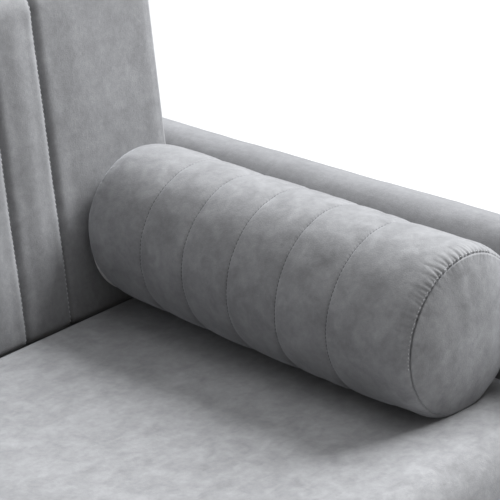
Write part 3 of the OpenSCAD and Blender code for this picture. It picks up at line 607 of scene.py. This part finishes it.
def arm_loops(low, high, ys, times):
    """Cross-sections of an arm at those stations, flat below, with a half round on top and rounded ends."""
    middle, half = (low.x + high.x) / 2, (high.x - low.x) / 2
    crest = high.z - half
    turn = np.linspace(0, pi, 12 * times + 1)
    down = np.linspace(0, 1, 10 * times + 1)[1:, None]
    under = np.linspace(0, 1, 4 * times + 1)[1:, None]
    outlines = []
    for y in ys:
        width = half - min(round_in(min(y - low.y, high.y - y), ARM_ROUND), ARM_ROUND - 0.0001)
        arc = np.stack([middle + width * np.cos(turn), crest + width * np.sin(turn)], -1)
        right_foot, left_foot = np.array([middle + width, low.z]), np.array([middle - width, low.z])
        left_side = arc[-1] * (1 - down) + left_foot * down
        base = left_foot * (1 - under) + right_foot * under
        right_side = right_foot * (1 - down[:-1]) + arc[0] * down[:-1]
        outlines.append(np.concatenate([arc, left_side, base, right_side]))
    return at_stations(ys, outlines)[..., [1, 0, 2]]


for side, seed in (("left", 21), ("right", 22)):
    arm_low, arm_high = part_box("arm_cover_" + side)
    arm_middle_y = (arm_low.y + arm_high.y) / 2
    arm_coarse_y = arm_middle_y + end_stations((arm_high.y - arm_low.y) / 2, 0.03, ARM_ENDS)
    arm_y = halved(arm_coarse_y)
    arm_coarse = arm_loops(arm_low, arm_high, arm_coarse_y, 1)
    arm_held = (arm_coarse[..., 2] < arm_low.z + ARM_HELD).astype(float)
    arm_grid = arm_loops(arm_low, arm_high, arm_y, 3)
    arm_moved = finer(swell(arm_coarse, arm_held, cap=0.0018, pressure=3.0), arm_coarse_y, arm_y, 3)
    arm_loose = ramp(arm_grid[..., 2] - arm_low.z, ARM_FADE)
    arm_uneven = uneven(arm_grid, 0.0009, (0.0005, seed, 0.15), (0.0003, seed + 5, 0.04))
    arm_grid = settled(arm_grid, arm_moved, arm_loose * arm_uneven)
    arm_grid = np.clip(arm_grid, np.array(arm_low), np.array(arm_high))
    padded_velvet("arm_velvet_" + side, arm_grid, arm_velvet, "base", "arm_cover_" + side)
dress(["arm_bolts"], zinc)

# Hinges. Zinc-plated steel brackets screwed inside the arms, and plates screwed to the backrest's ends, turn
# on one pin each side.
dress(["hinge_bracket_left", "hinge_bracket_right", "hinge_bracket_screws", "hinge_pin_left",
       "hinge_pin_right", "hinge_arm_left", "hinge_arm_right", "hinge_arm_screws"], zinc)

# Backrest. A slab of foam on a timber frame, in one velvet cover sewn into eighteen upright channels with a
# wide plain panel at each end, and a padded panel closing its rear. It leans back eight degrees, and its
# padding rolls under at the seat's level, which leaves a narrow dark recess between the two.
fold = next(joint for joint in frame["joints"] if joint["name"] == "backrest_fold")
HINGE_Y, HINGE_Z, LEAN = fold["pos_m"][1], fold["pos_m"][2], radians(90 - max(fold["range_deg"]))
BACK_HALF, BACK_FRONT, BACK_REAR, BACK_LOW, BACK_TOP = 0.880, -0.040, 0.106, -0.030, 0.455
BACK_EDGE, BACK_RECESS, BACK_END_ROUND, BACK_TOP_ROUND = 0.0285, -0.0195, 0.007, 0.040
CHANNEL, CHANNELS = 0.076, 18
CHANNEL_ROLL, CHANNEL_ROLL_REACH, CHANNEL_CROWN, TOP_SHARE = 0.0070, 0.012, 0.0014, 0.8
SEAM_SPAN = CHANNEL * CHANNELS / 2


def leaning(grid):
    """Points given as (x, depth, height) in the leaning backrest, put in the row frame."""
    x, depth, height = grid[..., 0], grid[..., 1], grid[..., 2]
    return np.stack([x, HINGE_Y + depth * cos(LEAN) + height * sin(LEAN),
                     HINGE_Z - depth * sin(LEAN) + height * cos(LEAN)], -1)


def seam_gap(x):
    """How far a station is from the nearest sewn line of the backrest."""
    x = np.abs(np.asarray(x, float))
    inside = np.abs((x / CHANNEL + 0.5) % 1 - 0.5) * CHANNEL
    return np.where(x > SEAM_SPAN, x - SEAM_SPAN, inside)


def channel_fall(x):
    """How far the cover lies back from its crown: rolled down into each sewn line, nearly flat between."""
    gap = seam_gap(x)
    return round_in(gap, CHANNEL_ROLL_REACH, CHANNEL_ROLL) + CHANNEL_CROWN * near(gap, CHANNEL / 2) ** 2


def back_loops(xs, times):
    """Cross-sections of the upright backrest at those stations, from the rear bottom edge forwards and up."""
    outlines = []
    for x in xs:
        end = round_in(BACK_HALF - abs(x), BACK_END_ROUND)
        fall = float(channel_fall(x))
        front, top, low = BACK_FRONT + end + fall, BACK_TOP - end - TOP_SHARE * fall, BACK_LOW + end
        outlines.append(outline([
            (BACK_REAR, low, 0.004, times, 4 * times), (BACK_RECESS, low, 0.008 - end, times, times),
            (BACK_RECESS, BACK_EDGE + end, 0.001, times, times),
            (front, BACK_EDGE + end, 0.011 - end, 3 * times, 16 * times),
            (front, top, BACK_TOP_ROUND - end, 5 * times, 5 * times),
            (BACK_REAR, top, 0.010, 2 * times, 8 * times)]))
    return at_stations(xs, outlines)


back_seams = [(k - CHANNELS / 2) * CHANNEL for k in range(CHANNELS + 1)]
across_panel = (0.02, 0.045, 0.075, 0.105, 0.135, 0.16, 0.18, 0.19, 0.1958, BACK_HALF - SEAM_SPAN)
beside_seam = (0.0006, 0.0015, 0.0028, 0.0045, 0.0065, 0.009, 0.012, 0.016, 0.022, 0.03)
beside_end = (0.0001, 0.0006, 0.0015, 0.003, 0.005, 0.0075, 0.0105, 0.015, 0.022, 0.032, 0.045, 0.06, 0.08,
              0.1, 0.12, 0.14)
back_coarse_x = {round(s + share * CHANNEL, 6) for s in back_seams[:-1] for share in (0, 0.25, 0.5, 0.75)}
back_coarse_x |= {round(sign * (SEAM_SPAN + d), 6) for d in across_panel for sign in (-1, 1)} | {SEAM_SPAN}
back_coarse_x = np.array(sorted(back_coarse_x))
back_x = set(np.round(back_coarse_x, 6))
back_x |= {round(s + sign * d, 6) for s in back_seams for d in beside_seam for sign in (-1, 1)}
back_x |= {round(sign * (BACK_HALF - d), 6) for d in beside_end for sign in (-1, 1)}
back_x = np.array(sorted(back_x))

BACK_HELD_END, BACK_HELD_REAR, BACK_HELD_LOW = 0.012, 0.085, -0.02
BACK_FIRM_END, BACK_END_FADE, BACK_SOFT_DEPTH, BACK_FADE, PANEL_FADE = 0.004, 0.03, 0.09, 0.05, 0.07
back_coarse = back_loops(back_coarse_x, 1)
back_held = ((seam_gap(back_coarse[..., 0]) < 0.001)
             | (np.abs(back_coarse[..., 0]) > BACK_HALF - BACK_HELD_END)
             | (back_coarse[..., 1] > BACK_HELD_REAR) | (back_coarse[..., 2] < BACK_HELD_LOW)).astype(float)
back_moved = swell(leaning(back_coarse), back_held, cap=0.0015, slack=0.002)
back_moved = finer(back_moved, back_coarse_x, back_x, 4)
past_seams = np.abs(back_x) - SEAM_SPAN
back_moved *= np.where(past_seams > 0, ramp(past_seams, PANEL_FADE), 1)[:, None, None]
back_flat = back_loops(back_x, 4)
back_grid = leaning(back_flat)
back_loose = ramp(BACK_SOFT_DEPTH - back_flat[..., 1], BACK_FADE) * ramp(
    BACK_HALF - BACK_FIRM_END - np.abs(back_flat[..., 0]), BACK_END_FADE)

TUCK_DEPTH, TUCK_REACH, TUCK_LENGTH = 0.00012, 0.006, 0.031
back_tucks = np.exp(-(seam_gap(back_flat[..., 0]) / TUCK_REACH) ** 2) * np.sin(
    back_flat[..., 2] * 2 * pi / TUCK_LENGTH + 2.2 * ripple(back_flat, 31, 0.11) + back_flat[..., 0] * 40)
back_uneven = uneven(back_flat, 0.0010, (0.0004, 32, 0.16), (0.00012, 33, 0.05)) + TUCK_DEPTH * back_tucks
back_grid = settled(back_grid, back_moved, back_loose * back_uneven)
back_finish = velvet("velvet_back", Clouds=0.10, Streaks=0.05, Along=(9.0, 9.0, 5.0))
padded_velvet("back_velvet", back_grid, back_finish, "backrest", "back_cover")


def slab(low, high, radius, step, corner, straight):
    """A flat padded panel between two corners, with rounded edges, as a grid of loops with those numbers of
    steps round each corner and up each face."""
    xs = end_stations(high[0], step, [radius * share for share in (0.02, 0.15, 0.4, 0.7, 1.1)])
    outlines = []
    for x in xs:
        inset = min(round_in(high[0] - abs(x), radius), radius * 0.9)
        front, rear, foot, top = low[1] + inset, high[1] - inset, low[2] + inset, high[2] - inset
        left = radius - inset
        outlines.append(outline([(front, foot, left, corner, 2), (rear, foot, left, corner, straight),
                                 (rear, top, left, corner, 2), (front, top, left, corner, straight)]))
    return at_stations(xs, outlines)


REAR_ROUND, REAR_FACE = 0.0018, 0.108
rear_grid = slab((-0.868, BACK_REAR, -0.024), (0.868, 0.110, 0.443), REAR_ROUND, 0.014, corner=2, straight=40)
rear_grid[..., 1] -= (rear_grid[..., 1] > REAR_FACE) * uneven(rear_grid, 0.0008, (0.0006, 36, 0.18))
padded_velvet("back_rear_velvet", leaning(rear_grid), velvet("velvet_back_rear", Clouds=0.08), "backrest",
              "back_rear_panel")

# Stitches. Strong grey thread draws each sewn line tight, about five millimetres to the stitch: up the
# backrest here, and with the bolsters round their rings and, smaller, along their gathered front seams. The
# thread's colour is painted: far paler than the velvet on the backrest and the front seams, as painted
# highlight, and nearly black in the bolsters' rings, as painted shade of their grooves.
thread_look, got, at = look_group("thread_look", {"Tone": (0.05, 0.05, 0.055, 1)})
thread_twist = node(thread_look, "TexWave", {"Vector": at, "Scale": 900.0, "Distortion": 0.6},
                    bands_direction="DIAGONAL").outputs["Fac"]
set_look(thread_look, shade(got["Tone"], lifted(0.75, thread_twist, 0.5)), noise(at, 500, 2, 0.45, 0.6),
         thread_twist)
# Pale grey, far lighter than the velvet: painted highlight on the backrest's and the front seams' stitches.
thread = material("thread_painted_highlight", thread_look, {"Tone": (0.72, 0.72, 0.73, 1)}, bump=0.0001,
                  Sheen_Weight=0.2)


def stitches(name, runs, length, radius, finish, body):
    """Runs of stitches on a body. A run is places, ways and ups: at each place lies a short rounded thread,
    along its way, with its back up."""
    places, ways, ups = (np.concatenate(part) for part in zip(*runs))
    ways, ups = unit(ways), unit(ups)
    ring = np.array([(cos(a), sin(a)) for a in np.linspace(0, 2 * pi, 6, endpoint=False)])
    rings = [(-0.5, 0.35), (-0.36, 0.9), (0.0, 1.1), (0.36, 0.9), (0.5, 0.35)]
    ahead, above, across = ways[:, None], ups[:, None], np.cross(ways, ups)[:, None]
    loops = []
    for t, size in rings:
        arched = ring[None, :, 1:] + 0.6 * (1 - 4 * t * t)
        tube = (across * ring[None, :, :1] + above * arched) * radius * size
        loops.append(places[:, None] + ahead * t * length + tube)
    one, points_each = skin_faces(len(rings), len(ring)), len(rings) * len(ring)
    faces = [[v + k * points_each for v in face] for k in range(len(places)) for face in one]
    sewn = mesh_object(name, np.concatenate(loops, 1).reshape(-1, 3).tolist(), faces, finish)
    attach(sewn, body)


STITCH_STEP, STITCH_LENGTH, STITCH_R, STITCH_BESIDE = 0.0058, 0.0029, 0.00052, 0.0028
SEWN_DEPTH, SEWN_LOW = 0.07, -0.012
runs = []
for seam in back_seams:
    column = int(np.argmin(np.abs(back_x - seam + STITCH_BESIDE)))
    shown = (back_flat[column][:, 1] < SEWN_DEPTH) & (back_flat[column][:, 2] > SEWN_LOW)
    line = back_grid[column][shown]
    length = np.concatenate([[0], np.cumsum(np.linalg.norm(np.diff(line, axis=0), axis=1))])
    stops = np.arange(STITCH_STEP, length[-1], STITCH_STEP)
    places = np.stack([np.interp(stops, length, line[:, k]) for k in range(3)], -1)
    ways = np.gradient(places, axis=0)
    inside = leaning(np.array([back_x[column], 0.05, 0.2]))
    ups = np.cross(ways, (1, 0, 0))
    ups *= np.sign((ups * (places - inside)).sum(1))[:, None]
    runs.append((places, ways, ups))
stitches("back_stitches", runs, STITCH_LENGTH, STITCH_R, thread, "backrest")

# Bolsters. A foam roll in a sewn velvet case: four channels between two wider end panels round the roll, and
# a round disc gathered into each end. Each lies loose in the corner of the seat and arm, flattened where it
# rests and where its rear end is pressed against the backrest.
ROLL_YAW = radians(3)
ROLL_ORIGIN = (0.7997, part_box("bolster_core_right")[1].y - 0.0042, 0.5253)
ROLL_R, ROLL_SEAM_R, ROLL_FLAT, ROLL_LENGTH = 0.100, 0.093, 0.0925, 0.496
ROLL_RINGS = np.array([0, 0.090, 0.158, 0.229, 0.303, 0.380, 0.496])
FRONT_SEAM_REACH, REAR_SEAM_REACH = 0.018, 0.034
RING_ROLL, RING_ROLL_REACH, PANEL_CROWN, PANEL_CROWN_REACH = 0.0013, 0.0045, 0.0009, 0.036
FRONT_DOME, FRONT_DOME_POWER, REAR_DOME, REAR_DOME_POWER = 0.014, 2.4, 0.020, 5
REAR_PUSH, REAR_PUSH_REACH = 0.06, 0.09
DRAWN_AT = (0, 0.05, 0.1, 0.2, 0.3, 0.38, 0.47)
DRAWN_IN = (0.010, 0.009, 0.0065, 0.0025, 0, -0.002, 0)
GROOVE_DEPTH, GROOVE_REACH, DRAWN_SIDE, GROOVE_SIDE = 0.0018, 0.004, 228, 248


def bolster_radius(t):
    """The roll's radius at a distance along it from its rear seam: rolled down into each sewn ring."""
    ring = np.abs(t[..., None] - ROLL_RINGS[1:-1]).min(-1)
    end = np.minimum(t * FRONT_SEAM_REACH / REAR_SEAM_REACH, ROLL_LENGTH - t)
    rolled = round_in(ring, RING_ROLL_REACH, RING_ROLL)
    crown = PANEL_CROWN * near(ring, PANEL_CROWN_REACH) ** 2
    return ROLL_R - rolled - crown - round_in(end, FRONT_SEAM_REACH, ROLL_R - ROLL_SEAM_R)


def facing(turns, degrees, narrowed):
    """1 at so many degrees round the roll, down to 0 on both sides of that."""
    off = turns - radians(degrees)
    return np.clip(np.cos(off * narrowed) * (np.cos(off) > 0), 0, 1)


def bolster_case(ts, turns, caps):
    """The whole case in the roll's own frame (across, along, up): rear disc, barrel, front disc. Its rear end
    leans with the backrest, and its lower side is drawn in, more so in the rings' grooves."""
    rear = np.stack([-REAR_DOME * (1 - caps ** REAR_DOME_POWER), ROLL_SEAM_R * caps], -1)
    front = np.stack([ROLL_LENGTH + FRONT_DOME * (1 - caps ** FRONT_DOME_POWER), ROLL_SEAM_R * caps], -1)
    rows = np.concatenate([rear, np.stack([ts, bolster_radius(ts)], -1), front[::-1]])
    along, radius = rows[:, :1], rows[:, 1:]
    up, across = radius * np.sin(turns), radius * np.cos(turns)
    pushed = along - up * REAR_PUSH * near(along, REAR_PUSH_REACH)
    ring = np.abs(along - ROLL_RINGS[1:-1]).min(-1, keepdims=True)
    drawn = np.interp(along, DRAWN_AT, DRAWN_IN) * facing(turns, DRAWN_SIDE, 1.3)
    drawn = drawn + GROOVE_DEPTH * np.exp(-(ring / GROOVE_REACH) ** 2) * facing(turns, GROOVE_SIDE, 1.5)
    up, across = up - drawn * np.sin(turns), across - drawn * np.cos(turns)
    low, soft = -ROLL_FLAT, 0.004
    up = np.where(up < low + soft, low + soft * np.exp((up - low - soft) / soft), up)
    return np.stack([across, pushed, np.maximum(up, low)], -1)


def pressed(case):
    """The case with its rear end flattened where it would run into the leaning backrest."""
    across, along, up = case[..., 0], case[..., 1], case[..., 2]
    clear, soft = 0.0012, 0.002
    height = ROLL_ORIGIN[2] + up - HINGE_Z + BACK_FRONT * sin(LEAN)
    backrest = HINGE_Y + BACK_FRONT * cos(LEAN) + height * tan(LEAN)
    nearest = (ROLL_ORIGIN[1] - across * sin(ROLL_YAW) - backrest + clear) / cos(ROLL_YAW)
    eased = nearest + soft * np.exp(np.minimum(along - nearest - soft, 0) / soft)
    case[..., 1] = np.where(along < nearest + soft, eased, along)
    return case


def placed(case, side):
    """The case turned along its arm and set on the seat, on the right or mirrored on the left."""
    across, along, up = case[..., 0], case[..., 1], case[..., 2]
    x = ROLL_ORIGIN[0] + across * cos(ROLL_YAW) - along * sin(ROLL_YAW)
    y = ROLL_ORIGIN[1] - across * sin(ROLL_YAW) - along * cos(ROLL_YAW)
    return np.stack([x if side == "right" else -x, y, ROLL_ORIGIN[2] + up], -1)


COARSE_TURNS, TIMES = 84, 6
beside_ring = (0.0006, 0.0015, 0.0027, 0.0043, 0.0065, 0.0090)
beside_end_seam = (0.013, 0.018, 0.023, 0.028, 0.034)
cap_coarse = np.array([0.03, 0.3, 0.55, 0.78, 0.93])
cap_fine = np.unique(np.round(np.concatenate([cap_coarse, np.linspace(0.03, 0.995, 40)]), 4))
coarse_t = [np.linspace(a, b, 7) for a, b in zip(ROLL_RINGS[:-1], ROLL_RINGS[1:])]
coarse_t = np.unique(np.round(np.concatenate(coarse_t), 5))
fine_t = np.concatenate([coarse_t, *(ROLL_RINGS + s * d for d in beside_ring for s in (-1, 1)),
                         *(ROLL_RINGS[[0, -1]] + s * d for d in beside_end_seam for s in (-1, 1))])
fine_t = np.unique(np.round(np.clip(fine_t, 0, ROLL_LENGTH), 5))
coarse_rows = np.concatenate([cap_coarse - 2, coarse_t, 3 - cap_coarse[::-1]])
fine_rows = np.concatenate([cap_fine - 2, fine_t, 3 - cap_fine[::-1]])
coarse_turn = np.linspace(0, 2 * pi, COARSE_TURNS, endpoint=False)
fine_turn = np.linspace(0, 2 * pi, COARSE_TURNS * TIMES, endpoint=False)

# A case swells between its rings and where it doesn't rest, and evenly near the middle of each disc.
case_coarse = bolster_case(coarse_t, coarse_turn, cap_coarse)
case_rings = np.abs(case_coarse[..., 1][..., None] - ROLL_RINGS).min(-1) < 0.0005
case_held = (case_rings | (case_coarse[..., 2] < -ROLL_FLAT + 0.002)).astype(float)
case_moved = swell(case_coarse, case_held, cap=0.0025, slack=0.004)
for row, share in ((0, 1.0), (1, 0.7), (2, 0.3), (-1, 1.0), (-2, 0.7), (-3, 0.3)):
    case_moved[row] = case_moved[row] * (1 - share) + case_moved[row].mean(0) * share
coarse_order = np.arange(len(coarse_rows), dtype=float)
case_moved = finer(case_moved, coarse_order, np.interp(fine_rows, coarse_rows, coarse_order), TIMES)


def creases(along, around, seed, count, reach, width, depth, upper):
    """Short folds that run from a gathered seam: how deep they are at each point, by its distance along from
    the seam and its way around it. With `upper` they are deepest on the upper side."""
    rng = np.random.default_rng(seed)
    total, highest, least = 2 * pi * ROLL_SEAM_R, 0.29, 0.35
    fall = np.zeros(np.broadcast(along, around).shape)
    for k in range(count):
        centre, slant = (k + rng.uniform(-0.35, 0.35)) * total / count, rng.uniform(-0.25, 0.25)
        long, wide = rng.uniform(0.6, 1.3) * reach, rng.uniform(0.7, 1.3) * width
        deep = rng.uniform(0.5, 1.0) * depth
        top = cos((centre / total - highest) * 2 * pi)
        deep *= least + (1 - least) * max(0.0, top) if upper else 1.0
        off = (around - centre - slant * along + total / 2) % total - total / 2
        fall += deep * np.exp(-(off / wide) ** 2) * near(along, long) ** 1.5
    return fall


RING_STITCHES, SCALLOP, SCALLOP_REACH = 126, 0.00013, 0.0024
case_fine = bolster_case(fine_t, fine_turn, cap_fine)
barrel = slice(len(cap_fine), len(cap_fine) + len(fine_t))
on_barrel = np.zeros(case_fine.shape[:2], bool)
on_barrel[barrel] = True
case_along = case_fine[..., 1]
from_rim = ROLL_SEAM_R - np.hypot(case_fine[..., 0], case_fine[..., 2])
case_free = ramp(case_fine[..., 2] + ROLL_FLAT - 0.001, 0.012)
ring_gap = np.abs(case_along[..., None] - ROLL_RINGS[1:-1]).min(-1)
scallop = SCALLOP * np.exp(-(ring_gap / SCALLOP_REACH) ** 2) * np.cos(fine_turn[None, :] * RING_STITCHES)
ring_rows = [int(np.argmin(np.abs(fine_t - r))) for r in ROLL_RINGS[1:-1]]
turn = (np.arange(RING_STITCHES) + 0.5) / RING_STITCHES * 2 * pi
GATHERED_FROM, GATHERED_TO, RESTING = 62, 188, -0.93
gathered = (turn > radians(GATHERED_FROM)) & (turn < radians(GATHERED_TO))
in_sight = np.sin(turn) > RESTING
# The barrel's ends tuck in behind the seams, and each disc closes just inside its rim.
TUCKED, TUCK_IN, CLOSED, CLOSE_IN = [0.9, 1, 0.9], [0, 0.002, 0], [0.97, 1, 0.97], 0.0015
# Nearly black: the same thread with the shade of the rings' grooves painted into its colour.
ring_thread_painted_shade = material("thread_painted_shade", thread_look, {"Tone": (0.035, 0.035, 0.04, 1)}, bump=0.0001)
bolster_velvet = velvet("velvet_bolsters", Clouds=0.13, Streaks=0.07, Along=(5.0, 5.0, 5.0))
for side, seed in (("left", 41), ("right", 51)):
    body = "bolster_" + side
    fall = uneven(case_fine, 0.0009, (0.0006, seed, 0.10), (0.0002, seed + 1, 0.03)) - scallop
    # Gathers on the barrel's front and rear and on the discs, each with its seed and sizes as creases says.
    for part, distance, *folds in (
            (on_barrel, ROLL_LENGTH - case_along, seed + 2, 100, 0.028, 0.0016, 0.0015, True),
            (on_barrel, case_along, seed + 3, 40, 0.012, 0.0016, 0.0003, False),
            (~on_barrel, from_rim, seed + 6, 80, 0.013, 0.0018, 0.0007, True)):
        depth = creases(np.clip(distance, 0, None), fine_turn[None, :] * ROLL_SEAM_R, *folds)
        fall = fall + np.where(part, depth, 0)
    case = settled(case_fine, case_moved, case_free * fall)
    case[..., 2] = np.maximum(case[..., 2], -ROLL_FLAT)
    case = pressed(case)
    roll = case[barrel]
    closed_roll = np.concatenate([[roll[0] * TUCKED + TUCK_IN], roll, [roll[-1] * TUCKED - TUCK_IN]])
    padded_velvet("bolster_velvet_" + side, placed(closed_roll, side), bolster_velvet, body,
                  "bolster_barrel_" + side)
    for place, rows, push, replaced in (("rear", case[:barrel.start], -1, None),
                                        ("front", case[barrel.stop:][::-1], 1, "bolster_ends_" + side)):
        closing = rows[-1] * CLOSED - [0, push * CLOSE_IN, 0]
        padded_velvet(f"bolster_disc_{place}_{side}", placed(np.concatenate([rows, [closing]]), side),
                      bolster_velvet, body, replaced)
    for label, sewn_rows, shown, length, radius, finish in (
            ("bolster_stitches_", ring_rows, in_sight, 0.0043, 0.00040, ring_thread_painted_shade),
            ("seam_stitches_", [len(fine_t) - 2], gathered, 0.0024, 0.00030, thread)):
        runs = []
        for row in sewn_rows:
            loop = placed(roll[row], side)
            places = np.stack([np.interp(turn, fine_turn, loop[:, k], period=2 * pi) for k in range(3)], -1)
            ways = np.roll(places, -1, 0) - np.roll(places, 1, 0)
            ups = np.cross(np.cross(ways, places - loop.mean(0)), ways)
            runs.append((places[shown], ways[shown], ups[shown]))
        stitches(label + side, runs, length, radius, finish, body)
